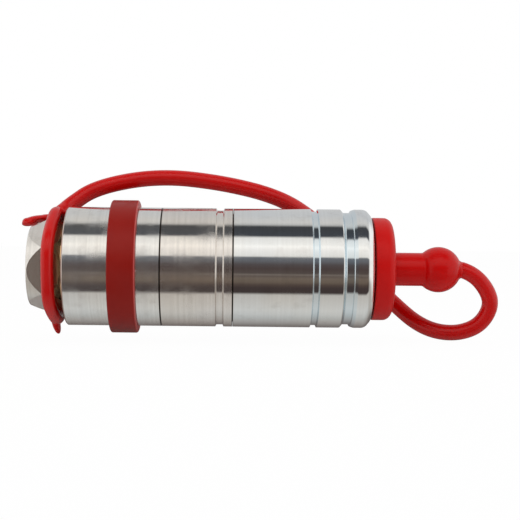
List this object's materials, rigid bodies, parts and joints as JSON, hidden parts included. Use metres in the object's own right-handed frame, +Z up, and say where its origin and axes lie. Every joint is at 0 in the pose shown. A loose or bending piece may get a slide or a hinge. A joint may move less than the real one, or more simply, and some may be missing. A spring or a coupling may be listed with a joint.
{
  "type": "hydraulic quick coupler",
  "caption": "Push-pull hydraulic coupler socket with hexagonal port end, sliding steel outer sleeve, ball lock, poppet valve and a tethered red dust plug.",
  "frame": {"origin": "centre of the hexagon's end face, where the hose port opens", "axes": "+X along the coupler's axis from the port to the dust plug, +Z up, +Y away from the viewer of the picture"},
  "size_m": [0.1632, 0.0498, 0.0577],
  "materials": {
    "zinc_steel": "bright zinc plate on turned steel",
    "plain_steel": "machined",
    "spring_steel": "drawn wire",
    "ball_steel": "polished",
    "seal_rubber": "matt",
    "white_ptfe": "waxy",
    "tether_red": "semi-gloss moulded soft plastic",
    "band_red": "satin"
  },
  "bodies": {
    "valve_cartridge": {"hex_adapter": "zinc_steel", "adapter_o_ring": "seal_rubber", "inner_body": "zinc_steel", "locking_balls": "ball_steel", "poppet_guide": "plain_steel", "poppet_spring": "spring_steel", "tip_seal": "seal_rubber", "tip_backup_ring": "white_ptfe", "spring_stop_ring": "plain_steel", "rear_snap_ring": "spring_steel", "front_snap_ring": "spring_steel"},
    "outer_sleeve": {"rear_shell": "zinc_steel", "middle_shell": "zinc_steel", "front_sleeve": "zinc_steel", "colour_band": "band_red", "rear_spring_washer": "plain_steel", "front_spring_washer": "plain_steel", "rear_centring_spring": "spring_steel", "front_centring_spring": "spring_steel", "tether_ring": "tether_red", "tether_cord": "tether_red"},
    "valve_poppet": {"poppet": "plain_steel", "poppet_seal": "seal_rubber"},
    "plug": {"dust_plug": "tether_red"}
  },
  "joints": [
    {"name": "sleeve_slide", "type": "slide", "parent": "valve_cartridge", "child": "outer_sleeve", "axis": [1, 0, 0], "range_m": [-0.0065, 0.006], "stiffness_N_per_m": 12000, "deforming": ["rear_centring_spring", "front_centring_spring"]},
    {"name": "poppet_slide", "type": "slide", "parent": "valve_cartridge", "child": "valve_poppet", "axis": [1, 0, 0], "range_m": [-0.0055, 0], "stiffness_N_per_m": 3000, "springref_m": 0.006, "deforming": ["poppet_spring"]},
    {"name": "plug_pull", "type": "slide", "parent": "outer_sleeve", "child": "plug", "axis": [1, 0, 0], "range_m": [0, 0.03], "deforming": ["tether_cord"]}
  ]
}
